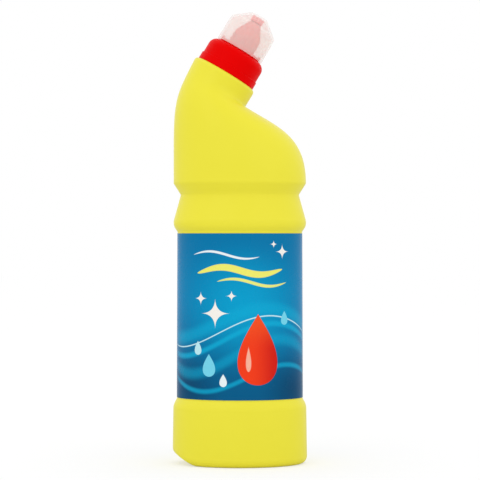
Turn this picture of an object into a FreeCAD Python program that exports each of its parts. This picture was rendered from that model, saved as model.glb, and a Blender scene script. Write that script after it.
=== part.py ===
import FreeCAD, Part
import math
import os

# Toilet-bleach bottle with a bent neck, in millimetres and degrees.
# The origin is the centre of the base on the ground. +Z is up and -Y is the front.
# The neck leans towards +X, the nose side, and away from -X, the heel side.
# Every level section of the body is an ellipse, wide along X.

V = FreeCAD.Vector

# Body widths, each half of the width along X
BASE_HALF_WIDTH = 41.2
BASE_TOP_HALF_WIDTH = 40.7
PANEL_BOTTOM_HALF_WIDTH = 38.4
PANEL_TOP_HALF_WIDTH = 38.1
GRIP_HALF_WIDTH = 41.2
WAIST_HALF_WIDTH = 36.1
SHOULDER_HALF_WIDTH = 40.5
DEPTH_RATIO = 0.80

# Body heights, each measured from the level below it
BASE_HEIGHT = 35.7
BASE_STEP_HEIGHT = 4.2
PANEL_HEIGHT = 101.7
GRIP_STEP_HEIGHT = 4.1
GRIP_HEIGHT = 18.4
WAIST_RISE = 6.9

# Body rounding radii
BASE_CORNER_RADIUS = 4.4
BASE_TOP_RADIUS = 8.0
PANEL_CORNER_RADIUS = 0.8
GRIP_RADIUS = 7.0
WAIST_RADIUS = 1.2

# Hollow under the base
PUSH_UP_HALF_WIDTH = 23.0
PUSH_UP_HEIGHT = 2.4
PUSH_UP_SLOPE = 3.0
PUSH_UP_RADIUS = 1.2

# Slanted flat across the lower corner of the base on its heel side, -X
FACET_RUN = 13.0
FACET_RISE = 7.8

# Walls
WALL = 0.9

# Neck axis: its tilt from upright, and the datum point on it, near the bottle's mouth
NECK_TILT = 31.0
DATUM_X = -3.4
DATUM_RISE = 76.2

# Neck, with heights measured along its axis from the datum
NECK_RADIUS = 20.8
NECK_TOP = -10.35
NECK_HEIGHT = 11.5
NECK_HEEL_TAPER = 0.6
NECK_CORNER_RADIUS = 2.4

# Fullness of the shoulder: how far each guide handle runs towards its corner
HEEL_FULLNESS_LOW = 0.84
HEEL_FULLNESS_HIGH = 1.12
NOSE_FULLNESS_LOW = 1.22
NOSE_FULLNESS_HIGH = 0.54
SIDE_FULLNESS = 0.70

# Neck finish: the tube that the closure snaps on
FINISH_RADIUS = 15.6
FINISH_WALL = 2.3
FINISH_TOP = 4.2
SNAP_BEAD_OUT = 0.9
SNAP_BEAD_BOTTOM = -5.4
SNAP_BEAD_HEIGHT = 1.8

# Label film round the panel, and the bare strips of panel below and above it
LABEL_BARE_BELOW = 0.6
LABEL_BARE_ABOVE = 1.1
LABEL_THICKNESS = 0.16
LABEL_GAP = 0.05

# Contents, with their level measured from the shoulder's start
FILL_RISE = 45.7
CONTENTS_CLEARANCE = 0.3

# Closure base: skirt, ledge and deck
COLLAR_RADIUS = 18.5
LEDGE_OUT = 0.6
LEDGE_HEIGHT = 4.6
COLLAR_SHOULDER_RADIUS = 5.2
DECK_TOP = 5.8
COLLAR_CLEARANCE = 0.1
SNAP_DEPTH = 0.5
PLUG_SKIRT_WALL = 1.1
PLUG_SKIRT_LENGTH = 9.0

# Nozzle
STUB_RADIUS = 8.4
STUB_TOP = 16.6
NOZZLE_TIP_RADIUS = 3.5
NOZZLE_TIP = 25.6
NOZZLE_WALL = 1.2
NOZZLE_LAND = 1.6
ORIFICE_RADIUS = 2.2

# Cap
CAP_GAP = 0.3
CAP_RADIUS = 15.5
CAP_DRAFT = 0.2
CAP_SHOULDER_HEIGHT = 22.4
CAP_CROWN_RADIUS = 5.4
CAP_TOP = 30.4
CAP_WALL = 1.2
CAP_SHOULDER_RADIUS = 5.0
CAP_CROWN_ROUNDING = 5.0
THREAD_ALLOWANCE = 0.95
INNER_SKIRT_WALL = 1.1
INNER_SKIRT_LIFT = 2.2

# Sealing plug under the crown
PLUG_RADIUS = 4.0
PLUG_RING_WALL = 1.0
PLUG_FIT = 0.06
PLUG_TIP_GAP = 0.3
PLUG_RING_SHORT = 0.6
PLUG_PIN_LENGTH = 1.3
PIN_CLEARANCE = 0.3

# Lugs that stop the cap from turning until its skirt is squeezed
LUG_WIDTH_ANGLE = 14.0
LUG_HEIGHT = 3.0
LUG_THICKNESS = 1.2
LUG_CLEARANCE = 0.3
LUG_ANGLE = 12.0

# Values that follow from the sizes above
PANEL_BOTTOM = BASE_HEIGHT + BASE_STEP_HEIGHT
PANEL_TOP = PANEL_BOTTOM + PANEL_HEIGHT
GRIP_BOTTOM = PANEL_TOP + GRIP_STEP_HEIGHT
WAIST_LEVEL = GRIP_BOTTOM + GRIP_HEIGHT
SHOULDER_LEVEL = WAIST_LEVEL + WAIST_RISE
NECK_NOTCH = NECK_TOP - NECK_HEIGHT
NECK_ROUND_START = NECK_TOP - NECK_CORNER_RADIUS
FINISH_BORE = FINISH_RADIUS - FINISH_WALL
CAP_BOTTOM = DECK_TOP + CAP_GAP
CAP_INNER_RADIUS = CAP_RADIUS - CAP_WALL
INNER_SKIRT_BORE = STUB_RADIUS + THREAD_ALLOWANCE
TILT = math.radians(NECK_TILT)
AXIS = V(math.sin(TILT), 0, math.cos(TILT))
ACROSS = V(math.cos(TILT), 0, -math.sin(TILT))
DATUM = V(DATUM_X, 0, SHOULDER_LEVEL + DATUM_RISE)


def neck_point(along, across):
    """A point given along the neck's axis from the datum, and across it towards the nose side."""
    return DATUM + AXIS * along + ACROSS * across


def rounded_outline(corners):
    """A closed wire in the XZ plane through corners (x, z, radius), with tangent arcs."""
    points = [V(x, 0, z) for x, z, _ in corners]
    count = len(points)
    edges = []
    starts = []
    ends = []
    arcs = []
    for i, (_, _, radius) in enumerate(corners):
        corner = points[i]
        back = (points[i - 1] - corner).normalize()
        ahead = (points[(i + 1) % count] - corner).normalize()
        if radius == 0:
            starts.append(corner)
            ends.append(corner)
            arcs.append(None)
            continue
        half_angle = back.getAngle(ahead) / 2
        reach = radius / math.tan(half_angle)
        middle_way = (back + ahead).normalize()
        centre = corner + middle_way * (radius / math.sin(half_angle))
        starts.append(corner + back * reach)
        ends.append(corner + ahead * reach)
        arcs.append(centre - middle_way * radius)
    for i in range(count):
        if arcs[i] is not None:
            edges.append(Part.Arc(starts[i], arcs[i], ends[i]).toShape())
        following = starts[(i + 1) % count]
        if ends[i].distanceToPoint(following) > 1e-6:
            edges.append(Part.makeLine(ends[i], following))
    return Part.Wire(edges)


def turned(corners):
    """A solid turned about Z from an outline of (radius, height, rounding) corners."""
    return Part.Face(rounded_outline(corners)).revolve(V(0, 0, 0), V(0, 0, 1), 360)


def closed_solid(faces):
    """The solid inside these faces, which meet edge to edge."""
    shell = Part.Shell(faces)
    shell.sewShape()
    solid = Part.Solid(shell)
    if solid.Volume < 0:
        solid.reverse()
    return solid


def flattened(shape, ratio):
    """The shape with its depth along Y multiplied by the ratio, its level faces true planes."""
    matrix = FreeCAD.Matrix()
    matrix.scale(1, ratio, 1)
    faces = []
    for face in shape.transformGeometry(matrix).Faces:
        if face.BoundBox.ZLength < 1e-4:
            face = Part.Face(face.Wires, "Part::FaceMakerBullseye")
        faces.append(face)
    return closed_solid(faces)


def joined(pieces):
    """The pieces fused one after another."""
    whole = pieces[0]
    for piece in pieces[1:]:
        whole = whole.fuse(piece)
    return whole


def on_neck(shape):
    """A piece that was made upright about Z, put on the neck's axis."""
    placed = shape.copy()
    placed.Placement = FreeCAD.Placement(DATUM, FreeCAD.Rotation(V(0, 1, 0), NECK_TILT))
    return placed


def tube(inner, outer, bottom, top):
    """An upright tube."""
    height = top - bottom
    return Part.makeCylinder(outer, height, V(0, 0, bottom)).cut(
        Part.makeCylinder(inner, height, V(0, 0, bottom)))


def ring_sector(inner, outer, bottom, top, middle_angle, width_angle):
    """A block between two radii and two heights, centred on an angle about Z."""
    section = Part.makePolygon([V(inner, 0, bottom), V(outer, 0, bottom),
                                V(outer, 0, top), V(inner, 0, top), V(inner, 0, bottom)])
    block = Part.Face(section).revolve(V(0, 0, 0), V(0, 0, 1), width_angle)
    block.rotate(V(0, 0, 0), V(0, 0, 1), middle_angle - width_angle / 2)
    return block


def solid_through(rows):
    """The solid whose wall blends smoothly between guide ellipses, closed by flat ends.

    Each row is (heel point, nose point, half depth). The first and last rows are on the wall,
    and rows between them only draw it towards themselves.
    """
    corner_weight = math.sqrt(0.5)
    poles = []
    weights = []
    for heel, nose, depth in rows:
        centre = (heel + nose) * 0.5
        reach = (nose - heel) * 0.5
        row = []
        row_weights = []
        for step in range(9):
            angle = math.pi * step / 4
            stretch = math.sqrt(2) if step % 2 else 1
            row.append(centre + reach * (math.cos(angle) * stretch)
                       + V(0, depth * math.sin(angle) * stretch, 0))
            row_weights.append(corner_weight if step % 2 else 1)
        poles.append(row)
        weights.append(row_weights)
    degree = len(rows) - 1
    surface = Part.BSplineSurface()
    surface.buildFromPolesMultsKnots(poles, [degree + 1, degree + 1], [3, 2, 2, 2, 3], [0, 1],
                                     [0, 1, 2, 3, 4], False, False, degree, 2, weights)
    wall = surface.toShape()
    lids = [Part.Face(Part.Wire([edge])) for edge in wall.Edges if edge.isClosed()]
    return closed_solid([wall] + lids)


def depth_ratio(inset):
    """Depth over width of the body once its wall has moved inwards by the inset."""
    return (BASE_HALF_WIDTH * DEPTH_RATIO - inset) / (BASE_HALF_WIDTH - inset)


def body_outline(inset):
    """The body's outline from the ground to the shoulder, moved inwards by the inset."""
    return [
        (0, PUSH_UP_HEIGHT + inset, 0),
        (PUSH_UP_HALF_WIDTH - PUSH_UP_SLOPE, PUSH_UP_HEIGHT + inset, PUSH_UP_RADIUS + inset),
        (PUSH_UP_HALF_WIDTH + inset, inset, PUSH_UP_RADIUS),
        (BASE_HALF_WIDTH - inset, inset, BASE_CORNER_RADIUS - inset),
        (BASE_TOP_HALF_WIDTH - inset, BASE_HEIGHT, BASE_TOP_RADIUS - inset),
        (PANEL_BOTTOM_HALF_WIDTH - inset, PANEL_BOTTOM, PANEL_CORNER_RADIUS + inset),
        (PANEL_TOP_HALF_WIDTH - inset, PANEL_TOP, PANEL_CORNER_RADIUS + inset),
        (GRIP_HALF_WIDTH - inset, GRIP_BOTTOM, GRIP_RADIUS - inset),
        (WAIST_HALF_WIDTH - inset, WAIST_LEVEL, WAIST_RADIUS + inset),
        (SHOULDER_HALF_WIDTH - inset, SHOULDER_LEVEL, 0),
        (0, SHOULDER_LEVEL, 0),
    ]


def barrel(inset):
    """The body from the ground to the shoulder, with the slanted flat across its corner."""
    solid = flattened(turned(body_outline(inset)), depth_ratio(inset))
    slope = math.atan2(FACET_RISE, FACET_RUN)
    inwards = V(math.sin(slope), 0, math.cos(slope)) * inset
    reach = BASE_HALF_WIDTH
    low = V(-BASE_HALF_WIDTH + FACET_RUN, 0, 0) + inwards
    high = V(-BASE_HALF_WIDTH, 0, FACET_RISE) + inwards
    along = (high - low).normalize()
    outside = V(-math.sin(slope), 0, -math.cos(slope))
    start = low - along * reach
    end = high + along * reach
    wedge = Part.Face(Part.makePolygon([start, end, end + outside * reach,
                                        start + outside * reach, start]))
    wedge.translate(V(0, -reach, 0))
    return solid.cut(wedge.extrude(V(0, 2 * reach, 0)))


def towards(start, goal, share):
    """The point that share of the way from start to goal."""
    return start + (goal - start) * share


def meet(point, way, x):
    """Where the line from the point along the way reaches this x."""
    return point + way * ((x - point.x) / way.x)


def neck_ends(inset):
    """The neck's low end and top end, each as (heel point, nose point, half depth)."""
    radius = NECK_RADIUS - inset
    low = (neck_point(NECK_NOTCH - inset, NECK_HEEL_TAPER - radius),
           neck_point(NECK_NOTCH - inset, radius), radius)
    top = (neck_point(NECK_ROUND_START, -radius),
           neck_point(NECK_ROUND_START, radius), radius)
    return low, top


def shoulder(inset):
    """The bent shoulder between the body and the neck's low end."""
    half_width = SHOULDER_HALF_WIDTH - inset
    depth = half_width * depth_ratio(inset)
    neck_low, neck_top = neck_ends(inset)
    heel_start = V(-half_width, 0, SHOULDER_LEVEL)
    nose_start = V(half_width, 0, SHOULDER_LEVEL)
    heel_corner = meet(neck_low[0], neck_top[0] - neck_low[0], -half_width)
    nose_corner = meet(neck_low[1], ACROSS, half_width)
    low_row = (towards(heel_start, heel_corner, HEEL_FULLNESS_LOW),
               towards(nose_start, nose_corner, NOSE_FULLNESS_LOW), depth)
    high_row = (towards(neck_low[0], heel_corner, HEEL_FULLNESS_HIGH),
                towards(neck_low[1], nose_corner, NOSE_FULLNESS_HIGH),
                neck_low[2] + (depth - neck_low[2]) * SIDE_FULLNESS)
    return solid_through([(heel_start, nose_start, depth), low_row, high_row, neck_low])


def neck(inset):
    """The short neck above the shoulder."""
    return solid_through(neck_ends(inset))


def neck_finish():
    """The rounded top of the neck and the tube that the closure snaps on, as one ring."""
    return on_neck(turned([
        (NECK_RADIUS - WALL, NECK_ROUND_START, 0),
        (NECK_RADIUS, NECK_ROUND_START, 0),
        (NECK_RADIUS, NECK_TOP, NECK_CORNER_RADIUS),
        (FINISH_RADIUS, NECK_TOP, 0),
        (FINISH_RADIUS, SNAP_BEAD_BOTTOM, 0),
        (FINISH_RADIUS + SNAP_BEAD_OUT, SNAP_BEAD_BOTTOM, 0.2),
        (FINISH_RADIUS + SNAP_BEAD_OUT, SNAP_BEAD_BOTTOM + SNAP_BEAD_HEIGHT / 2, 0.3),
        (FINISH_RADIUS, SNAP_BEAD_BOTTOM + SNAP_BEAD_HEIGHT, 0),
        (FINISH_RADIUS, FINISH_TOP, 0.4),
        (FINISH_BORE, FINISH_TOP, 0.4),
        (FINISH_BORE, NECK_TOP - WALL, 0),
        (NECK_RADIUS - WALL, NECK_TOP - WALL, NECK_CORNER_RADIUS - WALL),
    ]))


def bottle_shell():
    """The blown bottle: one wall from the base to the neck finish."""
    lower_wall = barrel(0).cut(barrel(WALL))
    upper_wall = shoulder(0).fuse(neck(0)).cut(shoulder(WALL).fuse(neck(WALL)))
    return joined([lower_wall, upper_wall, neck_finish()])


def label():
    """The printed film, a closed sleeve that follows the panel's slight taper."""
    taper = (PANEL_TOP_HALF_WIDTH - PANEL_BOTTOM_HALF_WIDTH) / PANEL_HEIGHT
    low = PANEL_BOTTOM_HALF_WIDTH + taper * LABEL_BARE_BELOW
    high = PANEL_TOP_HALF_WIDTH - taper * LABEL_BARE_ABOVE
    bottom = PANEL_BOTTOM + LABEL_BARE_BELOW
    top = PANEL_TOP - LABEL_BARE_ABOVE

    def sleeve(out):
        cone = turned([(0, bottom, 0), (low + out, bottom, 0), (high + out, top, 0), (0, top, 0)])
        return flattened(cone, (low * DEPTH_RATIO + out) / (low + out))

    return sleeve(LABEL_GAP + LABEL_THICKNESS).cut(sleeve(LABEL_GAP))


def liquid_bleach():
    """The contents, filled to their level."""
    inset = WALL + CONTENTS_CLEARANCE
    inside = joined([barrel(inset), shoulder(inset), neck(inset)])
    above = Part.makeBox(4 * BASE_HALF_WIDTH, 4 * BASE_HALF_WIDTH, DATUM.z,
                         V(-2 * BASE_HALF_WIDTH, -2 * BASE_HALF_WIDTH, SHOULDER_LEVEL + FILL_RISE))
    return inside.cut(above)


def nozzle_collar():
    """The closure base: snap skirt, deck, plug skirt, threaded stub and nozzle in one."""
    deck_bottom = FINISH_TOP + COLLAR_CLEARANCE
    bead_room = FINISH_RADIUS + SNAP_BEAD_OUT + COLLAR_CLEARANCE
    snap_radius = bead_room - SNAP_DEPTH
    bead_top = SNAP_BEAD_BOTTOM + SNAP_BEAD_HEIGHT + COLLAR_CLEARANCE
    bead_bottom = SNAP_BEAD_BOTTOM - COLLAR_CLEARANCE
    plug_radius = FINISH_BORE - COLLAR_CLEARANCE
    bore = STUB_RADIUS - NOZZLE_WALL
    body = turned([
        (bead_room, NECK_TOP, 0),
        (COLLAR_RADIUS + LEDGE_OUT, NECK_TOP, 0.3),
        (COLLAR_RADIUS + LEDGE_OUT, NECK_TOP + LEDGE_HEIGHT, 0.25),
        (COLLAR_RADIUS, NECK_TOP + LEDGE_HEIGHT, 0.2),
        (COLLAR_RADIUS, DECK_TOP, COLLAR_SHOULDER_RADIUS),
        (STUB_RADIUS, DECK_TOP, 0.4),
        (STUB_RADIUS, STUB_TOP, 1.0),
        (NOZZLE_TIP_RADIUS, NOZZLE_TIP, 0.6),
        (ORIFICE_RADIUS, NOZZLE_TIP, 0.3),
        (ORIFICE_RADIUS, NOZZLE_TIP - NOZZLE_LAND, 0),
        (bore, STUB_TOP - NOZZLE_WALL / 2, 1.0),
        (bore, deck_bottom, 0),
        (plug_radius - PLUG_SKIRT_WALL, deck_bottom, 0),
        (plug_radius - PLUG_SKIRT_WALL, deck_bottom - PLUG_SKIRT_LENGTH, 0.2),
        (plug_radius, deck_bottom - PLUG_SKIRT_LENGTH, 0.3),
        (plug_radius, deck_bottom, 0),
        (FINISH_RADIUS + COLLAR_CLEARANCE, deck_bottom, 0.5),
        (FINISH_RADIUS + COLLAR_CLEARANCE, bead_top, 0),
        (bead_room, bead_top, 0.2),
        (bead_room, bead_bottom, 0),
        (snap_radius, bead_bottom - SNAP_DEPTH, 0.2),
        (bead_room, bead_bottom - 2 * SNAP_DEPTH, 0),
    ])
    lug_outer = CAP_INNER_RADIUS - LUG_THICKNESS / 2 - LUG_CLEARANCE
    lugs = [ring_sector(lug_outer - LUG_THICKNESS, lug_outer, DECK_TOP - COLLAR_CLEARANCE,
                        DECK_TOP + LUG_HEIGHT, LUG_ANGLE + turn, LUG_WIDTH_ANGLE)
            for turn in (0, 180)]
    return on_neck(body.fuse(lugs).removeSplitter())


def overcap():
    """The cap: grip skirt and crown, threaded inner skirt and the ring that holds the plug."""
    slope = math.atan2(CAP_TOP - CAP_SHOULDER_HEIGHT, CAP_RADIUS - CAP_CROWN_RADIUS)
    roof = CAP_TOP - CAP_WALL
    inner_crown = CAP_CROWN_RADIUS - CAP_WALL * math.tan(slope / 2)
    inner_shoulder = CAP_SHOULDER_HEIGHT - CAP_WALL * math.tan((math.pi / 2 - slope) / 2)
    body = turned([
        (CAP_INNER_RADIUS, CAP_BOTTOM, 0),
        (CAP_RADIUS, CAP_BOTTOM, 0.4),
        (CAP_RADIUS - CAP_DRAFT, CAP_SHOULDER_HEIGHT, CAP_SHOULDER_RADIUS),
        (CAP_CROWN_RADIUS, CAP_TOP, CAP_CROWN_ROUNDING),
        (0, CAP_TOP, 0),
        (0, roof, 0),
        (inner_crown, roof, CAP_CROWN_ROUNDING - CAP_WALL),
        (CAP_INNER_RADIUS - CAP_DRAFT, inner_shoulder, CAP_SHOULDER_RADIUS - CAP_WALL),
    ])
    whole = turned([
        (0, CAP_BOTTOM, 0),
        (CAP_RADIUS - CAP_WALL / 2, CAP_BOTTOM, 0),
        (CAP_RADIUS - CAP_DRAFT - CAP_WALL / 2, CAP_SHOULDER_HEIGHT, CAP_SHOULDER_RADIUS),
        (CAP_CROWN_RADIUS - CAP_WALL / 4, CAP_TOP - CAP_WALL / 2, CAP_CROWN_ROUNDING),
        (0, CAP_TOP - CAP_WALL / 2, 0),
    ])
    skirt_bottom = DECK_TOP + INNER_SKIRT_LIFT
    ring_bottom = NOZZLE_TIP + PLUG_TIP_GAP + PLUG_RING_SHORT
    inner_skirt = tube(INNER_SKIRT_BORE, INNER_SKIRT_BORE + INNER_SKIRT_WALL,
                       skirt_bottom, CAP_TOP)
    ring = tube(PLUG_RADIUS + PLUG_FIT, PLUG_RADIUS + PLUG_FIT + PLUG_RING_WALL,
                ring_bottom, CAP_TOP)
    lug_inner = CAP_INNER_RADIUS - LUG_THICKNESS / 2
    lugs = [ring_sector(lug_inner, CAP_RADIUS - CAP_WALL / 2, CAP_BOTTOM + CAP_GAP,
                        DECK_TOP + LUG_HEIGHT, LUG_ANGLE + LUG_WIDTH_ANGLE + turn,
                        LUG_WIDTH_ANGLE / 2)
            for turn in (0, 180)]
    ribs = inner_skirt.fuse(ring).common(whole)
    return on_neck(body.fuse([ribs] + lugs).removeSplitter())


def seal_plug():
    """The insert under the crown, with the pin that closes the nozzle."""
    pin_radius = ORIFICE_RADIUS - PIN_CLEARANCE
    disc_bottom = NOZZLE_TIP + PLUG_TIP_GAP
    disc_top = CAP_TOP - CAP_WALL - PLUG_FIT
    return on_neck(turned([
        (0, disc_bottom - PLUG_PIN_LENGTH, 0),
        (pin_radius, disc_bottom - PLUG_PIN_LENGTH, 0.5),
        (pin_radius, disc_bottom, 0),
        (PLUG_RADIUS, disc_bottom, 0.2),
        (PLUG_RADIUS, disc_top, 0.2),
        (0, disc_top, 0),
    ]))


NODES = {
    "bottle_shell": bottle_shell,
    "label": label,
    "liquid_bleach": liquid_bleach,
    "nozzle_collar": nozzle_collar,
    "overcap": overcap,
    "seal_plug": seal_plug,
}

os.makedirs("parts", exist_ok=True)
for name, make in NODES.items():
    made = make()
    solids = made.Solids
    if len(solids) != 1 or not solids[0].isValid():
        raise RuntimeError(f"{name} is not one sound solid: {len(solids)} solids")
    solids[0].exportStep(f"parts/{name}.step")
    box = solids[0].BoundBox
    print(f"{name}: {solids[0].Volume / 1000:.2f} ml, x {box.XMin:.2f} to {box.XMax:.2f}, "
          f"y {box.YMin:.2f} to {box.YMax:.2f}, z {box.ZMin:.2f} to {box.ZMax:.2f}")
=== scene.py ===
import math

import bpy
import numpy as np
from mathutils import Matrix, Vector


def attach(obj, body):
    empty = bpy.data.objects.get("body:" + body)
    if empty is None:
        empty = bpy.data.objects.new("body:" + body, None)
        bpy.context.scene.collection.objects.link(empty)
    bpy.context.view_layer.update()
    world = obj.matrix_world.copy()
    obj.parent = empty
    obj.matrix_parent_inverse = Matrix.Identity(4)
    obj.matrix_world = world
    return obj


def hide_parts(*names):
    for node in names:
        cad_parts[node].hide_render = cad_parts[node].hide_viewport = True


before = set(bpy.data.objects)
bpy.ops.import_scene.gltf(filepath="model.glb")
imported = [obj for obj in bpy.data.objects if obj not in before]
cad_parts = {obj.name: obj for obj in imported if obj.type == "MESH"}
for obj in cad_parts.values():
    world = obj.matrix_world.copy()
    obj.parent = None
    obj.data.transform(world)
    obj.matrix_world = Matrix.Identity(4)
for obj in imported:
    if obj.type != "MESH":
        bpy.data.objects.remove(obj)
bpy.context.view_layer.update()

# Lengths are in metres and angles in degrees. -Y is the front. The neck leans towards +X, the
# nose side, and away from -X, the heel side.
MM = 0.001

# Body widths, each half of the width along X, and the body's depth over its width
BASE_HALF_WIDTH = 41.2 * MM
BASE_TOP_HALF_WIDTH = 40.7 * MM
PANEL_BOTTOM_HALF_WIDTH = 38.4 * MM
PANEL_TOP_HALF_WIDTH = 38.1 * MM
GRIP_HALF_WIDTH = 41.2 * MM
WAIST_HALF_WIDTH = 36.1 * MM
SHOULDER_HALF_WIDTH = 40.5 * MM
DEPTH_RATIO = 0.80

# Corner radii of the body's outline
PUSH_UP_RADIUS = 1.2 * MM
BASE_CORNER_RADIUS = 4.4 * MM
BASE_TOP_RADIUS = 8.0 * MM
PANEL_CORNER_RADIUS = 0.8 * MM
GRIP_RADIUS = 7.0 * MM
WAIST_RADIUS = 1.2 * MM

# Body heights above the ground
BASE_TOP_HEIGHT = 35.7 * MM
PANEL_BOTTOM_HEIGHT = 39.9 * MM
PANEL_TOP_HEIGHT = 141.6 * MM
GRIP_HEIGHT = 145.7 * MM
WAIST_HEIGHT = 164.1 * MM
SHOULDER_HEIGHT = 171.0 * MM

# Hollow under the base, and the slanted flat across its corner on the heel side, -X
PUSH_UP_HALF_WIDTH = 23.0 * MM
PUSH_UP_HEIGHT = 2.4 * MM
PUSH_UP_SLOPE = 3.0 * MM
FACET_RUN = 13.0 * MM
FACET_RISE = 7.8 * MM
FACET_SOFTNESS = 0.7 * MM

# Neck. Its corner's arc takes this share of the radius, so that it starts past the last ring.
NECK_TILT = 31.0
DATUM_X = -3.4 * MM
DATUM_Z = 247.2 * MM
NECK_RADIUS = 20.8 * MM
NECK_TOP = -10.35 * MM
NECK_HEIGHT = 11.5 * MM
NECK_HEEL_TAPER = 0.6 * MM
NECK_CORNER_RADIUS = 2.4 * MM
NECK_CORNER_SHARE = 0.98
FINISH_RADIUS = 15.6 * MM
FINISH_BORE = 13.3 * MM
FINISH_TOP = 4.2 * MM
FINISH_FOOT_RADIUS = 0.3 * MM
FINISH_RIM_RADIUS = 0.4 * MM
INNER_CORNER_RADIUS = 0.5 * MM
HEEL_FULLNESS_LOW = 0.84
HEEL_FULLNESS_HIGH = 1.12
NOSE_FULLNESS_LOW = 1.22
NOSE_FULLNESS_HIGH = 0.54
SIDE_FULLNESS = 0.70
WALL = 0.9 * MM

# Label: its ends, its film, and the strip where it overlaps itself at the back
LABEL_BOTTOM = 40.5 * MM
LABEL_TOP = 140.5 * MM
LABEL_GAP = 0.06 * MM
LABEL_THICKNESS = 0.11 * MM
LABEL_OVERLAP = 6.0 * MM
LABEL_RAMP = 2.0 * MM
LABEL_LAP_GAP = 0.01 * MM
LABEL_COLUMNS = 320
LABEL_SHARP_ANGLE = 40.0

# Thread ridge on the nozzle's stub, with the share of its height that is left at its two ends
THREAD_ROOT = 8.3 * MM
THREAD_CREST = 9.0 * MM
THREAD_START = 8.4 * MM
THREAD_PITCH = 3.2 * MM
THREAD_TURNS = 2.0
THREAD_FOOT = 0.75 * MM
THREAD_LAND = 0.25 * MM
THREAD_END_SHARE = 0.15
THREAD_FADE_SHARE = 0.125
THREAD_TURN_POINTS = 96

# Low ring on the closure's deck, inside the cap's skirt. Its foot lies just under the deck.
DECK_RING_INSIDE = 12.2 * MM
DECK_RING_OUTSIDE = 13.4 * MM
DECK_RING_FOOT = 5.7 * MM
DECK_RING_TOP = 7.7 * MM
DECK_RING_ROUNDING = 0.3 * MM

# Inner face of the cap's outer wall, about the neck's axis: its skirt, its cone and its roof.
# The cone is given by its slope, and by the distance from the datum square to it.
CAP_SKIRT_INSIDE = 13.2 * MM
CAP_SLOPE = 38.4
CAP_CONE_INSIDE = 25.5 * MM
CAP_ROOF_INSIDE = 28.9 * MM

# How finely the skin is drawn: points round a ring, the step between rings and how much closer
# they stand on arcs, the length below which two points count as one, the shoulder's rings, every
# how many of the inner wall's rings one is kept, and the radius of the first ring under the base
RING_POINTS = 180
RING_STEP = 1.1 * MM
ARC_STEP_SHARE = 0.4
ARC_STEPS_MIN = 6
SAME_POINT = 1e-7
SHOULDER_RINGS = 120
INNER_RING_STRIDE = 6
PUSH_UP_CENTRE = 0.4 * MM

# How softly the skin's creases are blown: everywhere, and on top of that round the neck's start.
# The reach and the lead before the neck are in rings. The rise is how fast the neck's softness
# sets in on the way round from the nose side, and near an end it is kept to a part of the room.
CREASE_SOFTNESS = 0.35 * MM
NECK_SOFTNESS = 3.0 * MM
SOFTENING_REACH = 12
NECK_LEAD = 24
HEEL_RISE = 4.0
ROOM_PER_SOFTNESS = 2.5

# Mould seams: the ridge's height, and in radians its half width and the extra points beside it
SEAM_HEIGHT = 0.07 * MM
SEAM_WIDTH = 0.012
SEAM_ANGLES = (-0.010, -0.005, 0.005, 0.010)

# Size of the label's print, in millimetres: once round the panel, and its height
PRINT_WIDTH = 218.0
PRINT_HEIGHT = 100.0
PRINT_MARGIN = 4.0

# How much of the light each surface of the cap scatters: its outer wall, the ribs inside, and
# the soft clouds in both. The wall's share sets in over a short way.
CAP_WALL_HAZE = 0.26
CAP_RIB_HAZE = 0.05
CAP_CLOUD_HAZE = 0.04
CAP_WALL_EDGE = 0.3 * MM

# How bright the studio looks in reflections of its front, behind the camera
DARK_FRONT = 0.35

# Where the studio's front starts to darken and is darkest, as the Y of a direction
FRONT_START = -0.1
FRONT_END = -0.95

# Camera, floor and lamps. The floor has one colour and glow for the camera, and another colour for
# the light that it throws back. The lamps point at a spot in the bottle.
CAMERA_SENSOR = 36.0
CAMERA_LENS = 157.5
CAMERA_PLACE = (0.0001, -1.286, 0.1365)
FLOOR_HALF_WIDTH = 6.0
FLOOR_SEEN = (0.5, 0.5, 0.5, 1)
FLOOR_GLOW = 0.5
FLOOR_UNSEEN = (0.78, 0.78, 0.76, 1)
LAMP_WIDTH = 1.2
LAMP_TARGET = (0, 0, 0.14)
LAMPS = (("key", (-0.9, -1.5, 1.1), 2.6), ("fill", (1.0, -1.4, 0.7), 1.6))

TILT = math.radians(NECK_TILT)
AXIS = np.array([math.sin(TILT), 0.0, math.cos(TILT)])
ACROSS = np.array([math.cos(TILT), 0.0, -math.sin(TILT)])
DATUM = np.array([DATUM_X, 0.0, DATUM_Z])


# Outlines and rings

def rounded(corners, step):
    """Points along an outline of (x, z, radius) corners, with tangent arcs, about a step apart."""
    spots = [np.array(corner[:2]) for corner in corners]
    path = [spots[0]]
    for i in range(1, len(corners) - 1):
        corner, radius = spots[i], corners[i][2]
        back = spots[i - 1] - corner
        ahead = spots[i + 1] - corner
        back /= np.linalg.norm(back)
        ahead /= np.linalg.norm(ahead)
        half = math.acos(max(-1.0, min(1.0, float(back @ ahead)))) / 2
        if radius <= 0:
            path.append(corner)
            continue
        middle = (back + ahead) / np.linalg.norm(back + ahead)
        centre = corner + middle * radius / math.sin(half)
        start = corner + back * radius / math.tan(half) - centre
        end = corner + ahead * radius / math.tan(half) - centre
        sweep = math.pi - 2 * half
        count = max(ARC_STEPS_MIN, round(radius * sweep / (ARC_STEP_SHARE * step)))
        for k in range(count + 1):
            share = k / count
            way = start * math.sin((1 - share) * sweep) + end * math.sin(share * sweep)
            path.append(centre + way / math.sin(sweep))
    path.append(spots[-1])
    return filled(path, step)


def filled(path, step):
    """The path with points added where two neighbours are further apart than the step."""
    out = [path[0]]
    for a, b in zip(path, path[1:]):
        length = float(np.linalg.norm(b - a))
        if length < SAME_POINT:
            continue
        count = max(1, math.ceil(length / step))
        out.extend(a + (b - a) * (k / count) for k in range(1, count + 1))
    return out


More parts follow.
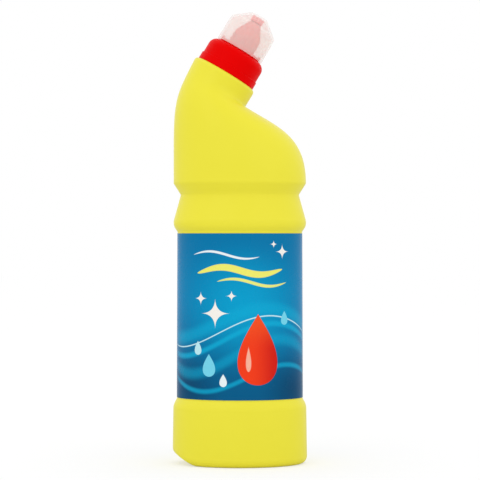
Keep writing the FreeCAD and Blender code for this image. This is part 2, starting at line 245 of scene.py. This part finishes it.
def ring_angles():
    """Angles round a ring, closer together at the two mould seams."""
    even = np.linspace(0, 2 * math.pi, RING_POINTS, endpoint=False)
    close = np.array(SEAM_ANGLES)
    return np.sort(np.concatenate([even, close % (2 * math.pi), close + math.pi]))


ANGLES = ring_angles()


def ring(centre, reach, depth):
    """Points of an ellipse: its centre, the vector to its front point, and its half depth."""
    side = np.array([0.0, depth, 0.0])
    return (np.array(centre) + np.outer(np.cos(ANGLES), np.array(reach))
            - np.outer(np.sin(ANGLES), side))


def depth_ratio(inset):
    """Depth over width of the body once its wall has moved inwards by the inset."""
    return (BASE_HALF_WIDTH * DEPTH_RATIO - inset) / (BASE_HALF_WIDTH - inset)


def barrel_rings(inset):
    """Level rings from under the base up to the shoulder."""
    outline = rounded([
        (PUSH_UP_CENTRE, PUSH_UP_HEIGHT + inset, 0),
        (PUSH_UP_HALF_WIDTH - PUSH_UP_SLOPE, PUSH_UP_HEIGHT + inset, PUSH_UP_RADIUS + inset),
        (PUSH_UP_HALF_WIDTH + inset, inset, PUSH_UP_RADIUS),
        (BASE_HALF_WIDTH - inset, inset, BASE_CORNER_RADIUS - inset),
        (BASE_TOP_HALF_WIDTH - inset, BASE_TOP_HEIGHT, BASE_TOP_RADIUS - inset),
        (PANEL_BOTTOM_HALF_WIDTH - inset, PANEL_BOTTOM_HEIGHT, PANEL_CORNER_RADIUS + inset),
        (PANEL_TOP_HALF_WIDTH - inset, PANEL_TOP_HEIGHT, PANEL_CORNER_RADIUS + inset),
        (GRIP_HALF_WIDTH - inset, GRIP_HEIGHT, GRIP_RADIUS - inset),
        (WAIST_HALF_WIDTH - inset, WAIST_HEIGHT, WAIST_RADIUS + inset),
        (SHOULDER_HALF_WIDTH - inset, SHOULDER_HEIGHT, 0),
    ], RING_STEP)
    ratio = depth_ratio(inset)
    return [ring((0, 0, z), (x, 0, 0), x * ratio) for x, z in outline]


def neck_point(along, across):
    """A point given along the neck's axis from the datum, and across it to the nose side."""
    return DATUM + AXIS * along + ACROSS * across


def shoulder_rings(inset):
    """Rings that turn from level to square with the neck, then the short neck itself."""
    half_width = SHOULDER_HALF_WIDTH - inset
    depth = half_width * depth_ratio(inset)
    radius = NECK_RADIUS - inset
    notch = NECK_TOP - NECK_HEIGHT - inset
    top = NECK_TOP - NECK_CORNER_RADIUS
    low_back = neck_point(notch, NECK_HEEL_TAPER - radius)
    low_front = neck_point(notch, radius)
    top_back, top_front = neck_point(top, -radius), neck_point(top, radius)
    start_back = np.array([-half_width, 0, SHOULDER_HEIGHT])
    start_front = np.array([half_width, 0, SHOULDER_HEIGHT])
    neck_way = top_back - low_back
    back_corner = low_back + neck_way * ((-half_width - low_back[0]) / neck_way[0])
    front_corner = low_front + ACROSS * ((half_width - low_front[0]) / ACROSS[0])
    backs = [start_back, start_back + (back_corner - start_back) * HEEL_FULLNESS_LOW,
             low_back + (back_corner - low_back) * HEEL_FULLNESS_HIGH, low_back]
    fronts = [start_front, start_front + (front_corner - start_front) * NOSE_FULLNESS_LOW,
              low_front + (front_corner - low_front) * NOSE_FULLNESS_HIGH, low_front]
    depths = [depth, depth, radius + (depth - radius) * SIDE_FULLNESS, radius]
    rings = []
    for share in np.linspace(0, 1, SHOULDER_RINGS)[1:]:
        pull = np.array([(1 - share) ** 3, 3 * share * (1 - share) ** 2,
                         3 * share ** 2 * (1 - share), share ** 3])
        back, front = pull @ np.array(backs), pull @ np.array(fronts)
        rings.append(ring((back + front) / 2, (front - back) / 2, float(pull @ depths)))
    neck_rings = math.ceil((top - notch) / RING_STEP)
    for k in range(1, neck_rings + 1):
        back = low_back + (top_back - low_back) * (k / neck_rings)
        front = low_front + (top_front - low_front) * (k / neck_rings)
        rings.append(ring((back + front) / 2, (front - back) / 2, radius))
    return rings


def turned_rings(path):
    """Rings about the neck's axis through (radius, height) points."""
    return [ring(DATUM + AXIS * z, ACROSS * r, r) for r, z in path]


def softened(rings, neck_start):
    """The rings' rows blurred along the bottle, so that creases get a small radius.

    Round the neck's start the blur is stronger, except in the middle of the nose side. It fades
    out towards both ends, which stay where they are.
    """
    rows = np.array(rings)
    lengths = np.linalg.norm(np.diff(rows, axis=0), axis=2)
    along = np.vstack([np.zeros(rows.shape[1]), np.cumsum(lengths, axis=0)])
    out = rows.copy()
    round_share = (1 - np.cos(ANGLES)) / 2
    for i in range(1, len(rows) - 1):
        neck_share = min(1.0, max(0.0, (i - neck_start + NECK_LEAD) / SOFTENING_REACH))
        extra = NECK_SOFTNESS * neck_share * np.minimum(1, HEEL_RISE * round_share)
        room = np.minimum(along[i], along[-1] - along[i])
        sigma = np.minimum(CREASE_SOFTNESS + extra, room / ROOM_PER_SOFTNESS)
        near = slice(max(0, i - SOFTENING_REACH), i + SOFTENING_REACH + 1)
        gap = along[near] - along[i]
        step = np.gradient(along[near], axis=0)
        pull = np.exp(-(gap / sigma) ** 2 / 2) * step
        pull /= pull.sum(axis=0)
        out[i] = (rows[near] * pull[:, :, None]).sum(axis=0)
    return out


def seamed(rows):
    """The rows with the mould's parting ridge, on the two sides where its halves met.

    The ridge's crest keeps to the rows, and the wall beside it lies a ridge's height lower.
    Towards the last row both meet again.
    """
    ridge = SEAM_HEIGHT * np.exp(-(np.sin(ANGLES) / SEAM_WIDTH) ** 2)
    outwards = rows - rows.mean(axis=1, keepdims=True)
    outwards /= np.linalg.norm(outwards, axis=2, keepdims=True)
    fade = np.clip((len(rows) - 1 - np.arange(len(rows))) / SOFTENING_REACH, 0, 1)
    return rows + outwards * np.outer(fade, ridge - SEAM_HEIGHT)[..., None]


def faceted(rows, inset):
    """The rows pressed in behind the slanted flat at the back of the base, with a soft edge."""
    slope = math.atan2(FACET_RISE, FACET_RUN)
    outwards = np.array([-math.sin(slope), 0.0, -math.cos(slope)])
    on_flat = np.array([-BASE_HALF_WIDTH, 0.0, FACET_RISE]) - outwards * inset
    beyond = (rows - on_flat) @ outwards
    press = FACET_SOFTNESS * np.logaddexp(0, beyond / FACET_SOFTNESS)
    return rows - press[..., None] * outwards


def mesh_object(name, points, faces, smooth=True):
    """A new mesh object in the scene."""
    mesh = bpy.data.meshes.new(name)
    mesh.from_pydata([tuple(p) for p in points], [], faces)
    mesh.validate()
    mesh.update()
    if smooth:
        mesh.polygons.foreach_set("use_smooth", [True] * len(mesh.polygons))
    thing = bpy.data.objects.new(name, mesh)
    bpy.context.scene.collection.objects.link(thing)
    return thing


def skin(name, rows, looped=False):
    """A mesh through rows of points, each row a closed ring.

    Its last row joins its first if it is looped. Otherwise both ends are closed.
    """
    rows = np.array(rows)
    count, around = rows.shape[:2]
    points = rows.reshape(-1, 3).tolist()
    faces = []
    last = count if looped else count - 1
    for i in range(last):
        here, above = i * around, ((i + 1) % count) * around
        for j in range(around):
            k = (j + 1) % around
            faces.append((here + j, above + j, above + k, here + k))
    for end in () if looped else (0, count - 1):
        middle = len(points)
        points.append(rows[end].mean(axis=0).tolist())
        start = end * around
        for j in range(around):
            k = (j + 1) % around
            spoke = (middle, start + j, start + k)
            faces.append(spoke if end == 0 else spoke[::-1])
    return mesh_object(name, points, faces)


# Material nodes

class Paint:
    """A material's node tree, with short calls for what the patterns need."""

    def __init__(self, name):
        self.material = bpy.data.materials.new(name)
        self.material.use_nodes = True
        self.tree = self.material.node_tree
        self.shader = self.tree.nodes["Principled BSDF"]

    def node(self, kind, **settings):
        """A new node with these settings."""
        made = self.tree.nodes.new(kind)
        for key, value in settings.items():
            setattr(made, key, value)
        return made

    def link(self, value, socket):
        """Feeds a socket from another one, or sets it to a value."""
        if isinstance(value, bpy.types.NodeSocket):
            self.tree.links.new(value, socket)
        else:
            socket.default_value = value

    def math(self, operation, *values, clamp=False):
        """The result of one sum, each value a number or a socket."""
        made = self.node("ShaderNodeMath", operation=operation, use_clamp=clamp)
        for value, socket in zip(values, made.inputs):
            self.link(value, socket)
        return made.outputs[0]

    def mix(self, share, low, high):
        """A colour between two, low where the share is 0."""
        made = self.node("ShaderNodeMix", data_type="RGBA", clamp_factor=True)
        self.link(share, made.inputs["Factor"])
        for value, socket in ((low, made.inputs[6]), (high, made.inputs[7])):
            self.link(value, socket)
        return made.outputs[2]

    def smooth(self, value, start, end):
        """0 before the start, 1 after the end, and an even blend between them."""
        made = self.node("ShaderNodeMapRange", interpolation_type="SMOOTHSTEP")
        for entry, socket in zip((value, start, end, 0.0, 1.0), made.inputs):
            self.link(entry, socket)
        return made.outputs[0]

    def place(self):
        """The point's place on the object, in metres."""
        return self.node("ShaderNodeTexCoord").outputs["Object"]

    def noise(self, scale, detail=3.0):
        """Soft random patches, from 0 to 1, with this many of them to a metre."""
        made = self.node("ShaderNodeTexNoise")
        made.inputs["Scale"].default_value = scale
        made.inputs["Detail"].default_value = detail
        self.link(self.place(), made.inputs["Vector"])
        return made.outputs[0]

    def neck_place(self):
        """The point's distance from the neck's axis, and its height along it."""
        arm = self.node("ShaderNodeVectorMath", operation="SUBTRACT")
        self.link(self.place(), arm.inputs[0])
        arm.inputs[1].default_value = DATUM.tolist()
        height = self.node("ShaderNodeVectorMath", operation="DOT_PRODUCT")
        off_axis = self.node("ShaderNodeVectorMath", operation="CROSS_PRODUCT")
        for made in (height, off_axis):
            self.link(arm.outputs["Vector"], made.inputs[0])
            made.inputs[1].default_value = AXIS.tolist()
        distance = self.node("ShaderNodeVectorMath", operation="LENGTH")
        self.link(off_axis.outputs["Vector"], distance.inputs[0])
        return distance.outputs["Value"], height.outputs["Value"]

    def bump(self, height, strength, distance, under=None):
        """A normal tilted by the height, on top of the normal under it."""
        made = self.node("ShaderNodeBump")
        made.inputs["Strength"].default_value = strength
        made.inputs["Distance"].default_value = distance
        self.link(height, made.inputs["Height"])
        if under is not None:
            self.link(under, made.inputs["Normal"])
        return made.outputs[0]

    def finish(self, colour, roughness, normal=None, **sockets):
        """Feeds the shader, sets its other sockets by name, and returns the material."""
        self.link(colour, self.shader.inputs["Base Color"])
        self.link(roughness, self.shader.inputs["Roughness"])
        if normal is not None:
            self.link(normal, self.shader.inputs["Normal"])
        for name, value in sockets.items():
            self.shader.inputs[name.replace("_", " ")].default_value = value
        return self.material


def shade(red, green, blue):
    """A colour given in screen values from 0 to 255, as the renderer's linear values."""
    def linear(value):
        share = value / 255
        return share / 12.92 if share <= 0.04045 else ((share + 0.055) / 1.055) ** 2.4
    return linear(red), linear(green), linear(blue), 1.0


def varied(paint, base, other, scale, share):
    """Two near colours mixed in soft clouds of this scale."""
    clouds = paint.noise(scale, detail=4.0)
    return paint.mix(paint.math("MULTIPLY", clouds, share), base, other)


def bottle_plastic():
    """Semi-gloss blown plastic with a fine grain over faint waves."""
    paint = Paint("bottle_plastic")
    colour = varied(paint, shade(240, 231, 62), shade(234, 222, 44), 22.0, 0.5)
    grain = paint.noise(1400.0, detail=2.0)
    waves = paint.noise(38.0, detail=3.0)
    rough = paint.math("MULTIPLY_ADD", waves, 0.12, 0.30)
    fine = paint.bump(grain, 0.10, 0.00006)
    soft = paint.bump(waves, 0.25, 0.0006, fine)
    return paint.finish(colour, rough, soft, IOR=1.5, Specular_IOR_Level=0.22)


def closure_plastic():
    """Evenly coloured moulded plastic with a low gloss."""
    paint = Paint("closure_plastic")
    colour = varied(paint, shade(234, 0, 0), shade(224, 0, 0), 60.0, 0.6)
    waves = paint.noise(90.0, detail=3.0)
    grain = paint.noise(1800.0, detail=2.0)
    rough = paint.math("MULTIPLY_ADD", waves, 0.10, 0.34)
    normal = paint.bump(waves, 0.12, 0.0003, paint.bump(grain, 0.06, 0.00005))
    return paint.finish(colour, rough, normal, IOR=1.49, Specular_IOR_Level=0.03)


def seal_plastic():
    """Softer and duller plastic."""
    paint = Paint("seal_plastic")
    colour = varied(paint, shade(250, 40, 60), shade(236, 24, 44), 80.0, 0.6)
    grain = paint.noise(900.0, detail=3.0)
    return paint.finish(colour, 0.5, paint.bump(grain, 0.15, 0.0001), IOR=1.5)


def cap_wall_share(paint):
    """1 on the cap's outer wall, and 0 on the thin ribs and rings inside it."""
    radius, height = paint.neck_place()
    slope = math.radians(CAP_SLOPE)
    cone = paint.math("MULTIPLY_ADD", height, math.cos(slope), -CAP_CONE_INSIDE)
    cone = paint.math("MULTIPLY_ADD", radius, math.sin(slope), cone)
    skirt = paint.math("SUBTRACT", radius, CAP_SKIRT_INSIDE)
    roof = paint.math("SUBTRACT", height, CAP_ROOF_INSIDE)
    outside = paint.math("MAXIMUM", paint.math("MAXIMUM", skirt, cone), roof)
    return paint.smooth(outside, 0.0, CAP_WALL_EDGE)


def cap_plastic():
    """Natural plastic that lets most light through and scatters the rest."""
    paint = Paint("cap_plastic")
    clouds = paint.noise(55.0, detail=4.0)
    colour = paint.mix(clouds, shade(255, 251, 246), shade(254, 247, 240))
    grain = paint.noise(1500.0, detail=2.0)
    rough = paint.math("MULTIPLY_ADD", clouds, 0.10, 0.42)
    normal = paint.bump(grain, 0.12, 0.00006)
    wall = cap_wall_share(paint)
    haze = paint.math("MULTIPLY_ADD", wall, CAP_WALL_HAZE - CAP_RIB_HAZE, CAP_RIB_HAZE)
    haze = paint.math("MULTIPLY_ADD", clouds, CAP_CLOUD_HAZE, haze)
    paint.link(haze, paint.shader.inputs["Alpha"])
    return paint.finish(colour, rough, normal, IOR=1.49, Specular_IOR_Level=0.2)


def contents():
    """Thick, clear, slightly yellow liquid."""
    paint = Paint("contents")
    clouds = paint.noise(40.0, detail=2.0)
    colour = paint.mix(clouds, shade(236, 240, 190), shade(226, 232, 170))
    return paint.finish(colour, 0.05, IOR=1.34, Transmission_Weight=0.9)


def within(paint, value, half, soft=0.12):
    """1 where the value is nearer to 0 than the half width, with a soft edge."""
    return paint.smooth(paint.math("SUBTRACT", half, paint.math("ABSOLUTE", value)), -soft, soft)


def wave(paint, x, height, swing, length, phase):
    """The height of a wavy line at x."""
    turn = paint.math("MULTIPLY_ADD", x, 2 * math.pi / length, phase)
    return paint.math("MULTIPLY_ADD", paint.math("SINE", turn), swing, height)


def drop_shape(paint, x, z, place, half_width, bottom, tip, soft=0.14):
    """A drop: round below, and pointed at its tip."""
    share = paint.math("DIVIDE", paint.math("SUBTRACT", z, bottom), tip - bottom, clamp=True)
    low = paint.math("POWER", share, 0.5)
    high = paint.math("POWER", paint.math("SUBTRACT", 1.0, share), 1.1)
    reach = paint.math("MULTIPLY", paint.math("MULTIPLY", low, high), half_width / 0.37)
    edge = paint.math("SUBTRACT", reach, soft)
    return within(paint, paint.math("SUBTRACT", x, place), edge, soft)


def sparkle(paint, x, z, place, height, size):
    """A four-pointed star with hollow sides."""
    across = paint.math("SQRT", paint.math("ABSOLUTE", paint.math("SUBTRACT", x, place)))
    along = paint.math("SQRT", paint.math("ABSOLUTE", paint.math("SUBTRACT", z, height)))
    reach = paint.math("SUBTRACT", math.sqrt(size), paint.math("ADD", across, along))
    return paint.smooth(reach, -0.03, 0.06)


def spot(paint, x, z, place, height, radius, soft):
    """A round patch that fades out at its edge."""
    across = paint.math("SUBTRACT", x, place)
    along = paint.math("SUBTRACT", z, height)
    squares = paint.math("MULTIPLY_ADD", across, across, paint.math("MULTIPLY", along, along))
    return paint.smooth(paint.math("SQRT", squares), radius + soft, radius - soft)


def label_film():
    """A glossy film printed with waves, sparkles and drops. Its sizes are in millimetres."""
    paint = Paint("label_film")
    flat = paint.node("ShaderNodeSeparateXYZ")
    paint.link(paint.node("ShaderNodeTexCoord").outputs["UV"], flat.inputs[0])
    x = paint.math("MULTIPLY_ADD", flat.outputs[0], PRINT_WIDTH, -PRINT_WIDTH / 2)
    z = paint.math("MULTIPLY", flat.outputs[1], PRINT_HEIGHT)
    front = within(paint, x, 48.0, 10.0)

    # Blue ground: light in the middle, dark at the foot
    colour = paint.mix(paint.smooth(z, 0.0, 62.0), shade(0, 92, 139), shade(0, 131, 184))
    colour = paint.mix(paint.smooth(z, 66.0, 100.0), colour, shade(0, 119, 172))
    glow = paint.math("MULTIPLY", spot(paint, x, z, 2.0, 56.0, 22.0, 22.0), 0.8)
    colour = paint.mix(glow, colour, shade(0, 168, 216))
    for place in (-34.0, 36.0):
        dark = paint.math("MULTIPLY", spot(paint, x, z, place, 6.0, 14.0, 14.0), 0.75)
        colour = paint.mix(dark, colour, shade(0, 62, 100))

    # Soft bands of water that sweep across the panel. The last two are thickness and strength.
    for height, swing, length, phase, thick, share in (
            (46.0, 9.0, 120.0, 0.7, 3.6, 0.55), (36.0, 10.0, 118.0, 0.5, 1.5, 0.75),
            (26.0, 10.5, 112.0, 0.2, 3.0, 0.45), (13.0, 8.0, 104.0, -0.2, 1.3, 0.65)):
        line = wave(paint, x, height, swing, length, phase)
        band = within(paint, paint.math("SUBTRACT", z, line), thick, thick * 0.8)
        band = paint.math("MULTIPLY", band, share)
        colour = paint.mix(paint.math("MULTIPLY", band, front), colour, shade(8, 176, 220))
    line = wave(paint, x, 41.0, 9.6, 118.0, 0.6)
    crest = within(paint, paint.math("SUBTRACT", z, line), 0.34, 0.2)
    colour = paint.mix(paint.math("MULTIPLY", crest, front), colour, shade(206, 242, 250))

    # Yellow and white ribbons over the water, each with its left and right ends
    for height, thick, tone, left, right in (
            (87.0, 0.85, shade(240, 248, 252), -30.0, 12.0),
            (77.5, 2.3, shade(244, 240, 112), -27.0, 27.0),
            (70.5, 1.1, shade(238, 240, 130), -14.0, 30.0)):
        line = wave(paint, x, height, 2.2, 46.0, height * 0.12)
        middle, half = (left + right) / 2, (right - left) / 2
        taper = paint.math("DIVIDE", paint.math("SUBTRACT", x, middle), half)
        taper = paint.math("SUBTRACT", 1.0, paint.math("MULTIPLY", taper, taper), clamp=True)
        reach = paint.math("MULTIPLY", paint.math("SQRT", taper), thick)
        ribbon = within(paint, paint.math("SUBTRACT", z, line), paint.math("SUBTRACT", reach, 0.12))
        colour = paint.mix(ribbon, colour, tone)

    # One large drop with a shaded side and a highlight
    body = drop_shape(paint, x, z, 11.0, 12.5, 9.0, 52.0)
    red = paint.mix(paint.smooth(x, 6.0, 24.0), shade(248, 62, 18), shade(214, 26, 8))
    red = paint.mix(paint.smooth(z, 30.0, 52.0), red, shade(250, 84, 30))
    colour = paint.mix(body, colour, red)
    gleam = drop_shape(paint, x, z, 5.2, 1.9, 17.0, 33.0, 0.3)
    colour = paint.mix(paint.math("MULTIPLY", gleam, 0.85), colour, shade(255, 196, 170))

    # Small drops, and sparkles
    for place, bottom, size, tone in (
            (-19.0, 14.0, 4.2, shade(120, 216, 240)), (-26.5, 27.0, 2.6, shade(190, 236, 246)),
            (-10.0, 8.0, 2.4, shade(236, 248, 252)), (28.5, 45.0, 2.6, shade(120, 216, 240))):
        small = drop_shape(paint, x, z, place, size, bottom, bottom + size * 3.3)
        colour = paint.mix(small, colour, tone)
    for place, height, size in ((-15.0, 52.0, 9.5), (-24.5, 61.0, 4.5), (-5.0, 62.5, 3.6),
                                (27.0, 89.0, 5.0), (21.0, 93.5, 2.6)):
        star = sparkle(paint, x, z, place, height, size)
        colour = paint.mix(star, colour, shade(250, 246, 240))

    # Bare margin along the glued edge at the back
    past = paint.math("SUBTRACT", paint.math("ABSOLUTE", x), PRINT_WIDTH / 2 - PRINT_MARGIN)
    margin = paint.smooth(past, -0.2, 0.2)
    colour = paint.mix(margin, colour, shade(236, 240, 240))
    grain = paint.noise(2600.0, detail=2.0)
    colour = paint.mix(paint.math("MULTIPLY", grain, 0.07), colour, shade(0, 60, 100))
    ripple = paint.noise(60.0, detail=2.0)
    rough = paint.math("MULTIPLY_ADD", ripple, 0.10, 0.22)
    normal = paint.bump(ripple, 0.06, 0.0002)
    return paint.finish(colour, rough, normal, IOR=1.5, Specular_IOR_Level=0.08)


# The bottle

def make_bottle():
    """The blown body: outer skin, mouth rim and inner wall as one closed surface."""
    barrel, upper = barrel_rings(0), shoulder_rings(0)
    outer = softened(barrel + upper, len(barrel) + SHOULDER_RINGS - 1)
    outer = seamed(faceted(outer, 0))
    outer[..., 2] = np.maximum(outer[..., 2], 0)
    top = NECK_TOP - NECK_CORNER_RADIUS
    rim = rounded([
        (NECK_RADIUS, top, 0),
        (NECK_RADIUS, NECK_TOP, NECK_CORNER_RADIUS * NECK_CORNER_SHARE),
        (FINISH_RADIUS, NECK_TOP, FINISH_FOOT_RADIUS),
        (FINISH_RADIUS, FINISH_TOP, FINISH_RIM_RADIUS),
        (FINISH_BORE, FINISH_TOP, FINISH_RIM_RADIUS),
        (FINISH_BORE, NECK_TOP - WALL, INNER_CORNER_RADIUS),
        (NECK_RADIUS - WALL, NECK_TOP - WALL, INNER_CORNER_RADIUS),
        (NECK_RADIUS - WALL, top, 0),
    ], RING_STEP)[1:]
    inner = faceted(np.array(barrel_rings(WALL) + shoulder_rings(WALL)), WALL)
    rows = list(outer) + turned_rings(rim) + list(inner[::-INNER_RING_STRIDE])
    bottle = skin("bottle", rows)
    bottle.data.materials.append(bottle_plastic())
    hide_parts("bottle_shell")
    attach(bottle, "bottle")


def panel_half_width(height):
    """Half width of the label panel at a height."""
    share = (height - PANEL_BOTTOM_HEIGHT) / (PANEL_TOP_HEIGHT - PANEL_BOTTOM_HEIGHT)
    return PANEL_BOTTOM_HALF_WIDTH + (PANEL_TOP_HALF_WIDTH - PANEL_BOTTOM_HALF_WIDTH) * share


def make_label():
    """The film: one strip round the panel, whose end lies over its start at the back."""
    mean = (panel_half_width(LABEL_BOTTOM) + panel_half_width(LABEL_TOP)) / 2
    lap = LABEL_OVERLAP / mean
    turns = np.linspace(-math.pi - lap, math.pi, LABEL_COLUMNS)
    ramp = LABEL_RAMP / mean
    lift = np.clip((turns - (math.pi - lap - ramp)) / ramp, 0, 1)
    lift = lift * lift * (3 - 2 * lift) * (LABEL_THICKNESS + LABEL_LAP_GAP)
    x = np.sin(turns) * mean
    y = -np.cos(turns) * mean * DEPTH_RATIO
    arc = np.concatenate([[0], np.cumsum(np.hypot(np.diff(x), np.diff(y)))])
    share = (arc - np.interp(0, turns, arc)) / MM / PRINT_WIDTH + 0.5
    points, places = [], []
    section = ((LABEL_BOTTOM, 0), (LABEL_BOTTOM, 1), (LABEL_TOP, 1), (LABEL_TOP, 0))
    for turn, up, along in zip(turns, lift, share):
        for height, outside in section:
            out = LABEL_GAP + up + outside * LABEL_THICKNESS
            wide = panel_half_width(height)
            points.append((math.sin(turn) * (wide + out),
                           -math.cos(turn) * (wide * DEPTH_RATIO + out), height))
            places.append((along, (height - LABEL_BOTTOM) / (LABEL_TOP - LABEL_BOTTOM)))
    faces = []
    for i in range(LABEL_COLUMNS - 1):
        for k in range(4):
            a, b = 4 * i + k, 4 * i + (k + 1) % 4
            faces.append((a, a + 4, b + 4, b))
    last = 4 * (LABEL_COLUMNS - 1)
    faces += [(0, 1, 2, 3), (last + 3, last + 2, last + 1, last)]
    label = mesh_object("label_sleeve", points, faces)
    chart = label.data.uv_layers.new(name="print")
    for loop in label.data.loops:
        chart.data[loop.index].uv = places[loop.vertex_index]
    label.data.set_sharp_from_angle(angle=math.radians(LABEL_SHARP_ANGLE))
    label.data.materials.append(label_film())
    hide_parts("label")
    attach(label, "bottle")


def make_thread(material):
    """The raised thread on the nozzle's stub, thinned out at both ends."""
    count = int(THREAD_TURNS * THREAD_TURN_POINTS)
    points = []
    for i in range(count + 1):
        share = i / count
        turn = share * THREAD_TURNS * 2 * math.pi
        rise = THREAD_START + share * THREAD_TURNS * THREAD_PITCH
        fade = min(1.0, share / THREAD_FADE_SHARE, (1 - share) / THREAD_FADE_SHARE)
        height_share = THREAD_END_SHARE + (1 - THREAD_END_SHARE) * fade
        crest = THREAD_ROOT + (THREAD_CREST - THREAD_ROOT) * height_share
        out = ACROSS * math.cos(turn) + np.array([0.0, 1.0, 0.0]) * math.sin(turn)
        for radius, height in ((THREAD_ROOT, -THREAD_FOOT), (crest, -THREAD_LAND),
                               (crest, THREAD_LAND), (THREAD_ROOT, THREAD_FOOT)):
            points.append(DATUM + AXIS * (rise + height) + out * radius)
    faces = []
    for i in range(count):
        for k in range(4):
            a, b = 4 * i + k, 4 * i + (k + 1) % 4
            faces.append((a, b, b + 4, a + 4))
    faces += [(3, 2, 1, 0), tuple(4 * count + k for k in range(4))]
    thread = mesh_object("nozzle_thread", points, faces, smooth=False)
    thread.data.materials.append(material)
    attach(thread, "bottle")


def make_deck_ring(material):
    """The low ring on the closure's deck, which shows through the cap's skirt."""
    section = rounded([
        (DECK_RING_OUTSIDE, DECK_RING_FOOT, 0),
        (DECK_RING_OUTSIDE, DECK_RING_TOP, DECK_RING_ROUNDING),
        (DECK_RING_INSIDE, DECK_RING_TOP, DECK_RING_ROUNDING),
        (DECK_RING_INSIDE, DECK_RING_FOOT, 0),
    ], RING_STEP)
    band = skin("deck_ring", turned_rings(section), looped=True)
    band.data.materials.append(material)
    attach(band, "bottle")


def dress(node, material):
    """Gives a carried-over node its finished material."""
    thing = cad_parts[node]
    thing.data.materials.clear()
    thing.data.materials.append(material)


# Stage, light and camera

def make_stage():
    """A pale floor, which the camera sees as white as the background."""
    mesh = bpy.data.meshes.new("floor")
    half = FLOOR_HALF_WIDTH
    mesh.from_pydata([(-half, -half, 0), (half, -half, 0), (half, half, 0), (-half, half, 0)],
                     [], [(0, 1, 2, 3)])
    floor = bpy.data.objects.new("floor", mesh)
    bpy.context.scene.collection.objects.link(floor)
    paint = Paint("floor")
    seen = paint.node("ShaderNodeLightPath").outputs["Is Camera Ray"]
    paint.finish(paint.mix(seen, FLOOR_UNSEEN, FLOOR_SEEN), 1.0,
                 Specular_IOR_Level=0.0, Emission_Color=(1, 1, 1, 1))
    paint.link(paint.math("MULTIPLY", seen, FLOOR_GLOW), paint.shader.inputs["Emission Strength"])
    floor.data.materials.append(paint.material)


def make_light():
    """A white studio, darker where its front shows in reflections, and two soft lamps."""
    world = bpy.data.worlds.new("studio")
    bpy.context.scene.world = world
    world.use_nodes = True
    tree = world.node_tree
    glow = tree.nodes["Background"]
    glow.inputs["Color"].default_value = (1, 1, 1, 1)
    way = tree.nodes.new("ShaderNodeTexCoord")
    parts = tree.nodes.new("ShaderNodeSeparateXYZ")
    tree.links.new(way.outputs["Generated"], parts.inputs[0])
    front = tree.nodes.new("ShaderNodeMapRange")
    front.interpolation_type = "SMOOTHSTEP"
    tree.links.new(parts.outputs["Y"], front.inputs["Value"])
    front.inputs["From Min"].default_value = FRONT_END
    front.inputs["From Max"].default_value = FRONT_START
    front.inputs["To Min"].default_value = DARK_FRONT
    front.inputs["To Max"].default_value = 1.0
    path = tree.nodes.new("ShaderNodeLightPath")
    level = tree.nodes.new("ShaderNodeMix")
    tree.links.new(path.outputs["Is Glossy Ray"], level.inputs[0])
    level.inputs[2].default_value = 1.0
    tree.links.new(front.outputs[0], level.inputs[3])
    tree.links.new(level.outputs[0], glow.inputs["Strength"])
    for name, place, power in LAMPS:
        data = bpy.data.lights.new(name, "AREA")
        data.size = LAMP_WIDTH
        data.energy = power
        lamp = bpy.data.objects.new(name, data)
        lamp.location = place
        aim = Vector(LAMP_TARGET) - Vector(place)
        lamp.rotation_euler = aim.to_track_quat("-Z", "Y").to_euler()
        bpy.context.scene.collection.objects.link(lamp)


def make_camera():
    """The photograph's view: level, from the front, with a long lens."""
    data = bpy.data.cameras.new("camera")
    data.sensor_width = CAMERA_SENSOR
    data.lens = CAMERA_LENS
    camera = bpy.data.objects.new("camera", data)
    camera.location = CAMERA_PLACE
    camera.rotation_euler = (math.radians(90), 0, 0)
    bpy.context.scene.collection.objects.link(camera)
    bpy.context.scene.camera = camera


make_camera()
make_stage()
make_light()
make_bottle()
make_label()
dress("liquid_bleach", contents())
red = closure_plastic()
dress("nozzle_collar", red)
make_thread(red)
make_deck_ring(red)
dress("overcap", cap_plastic())
dress("seal_plug", seal_plastic())

# Light goes through many thin walls of the cap, one behind another
cycles = bpy.context.scene.cycles
cycles.transparent_max_bounces = 32
cycles.diffuse_bounces = 8
cycles.max_bounces = 16

bpy.context.scene.view_settings.view_transform = "Standard"
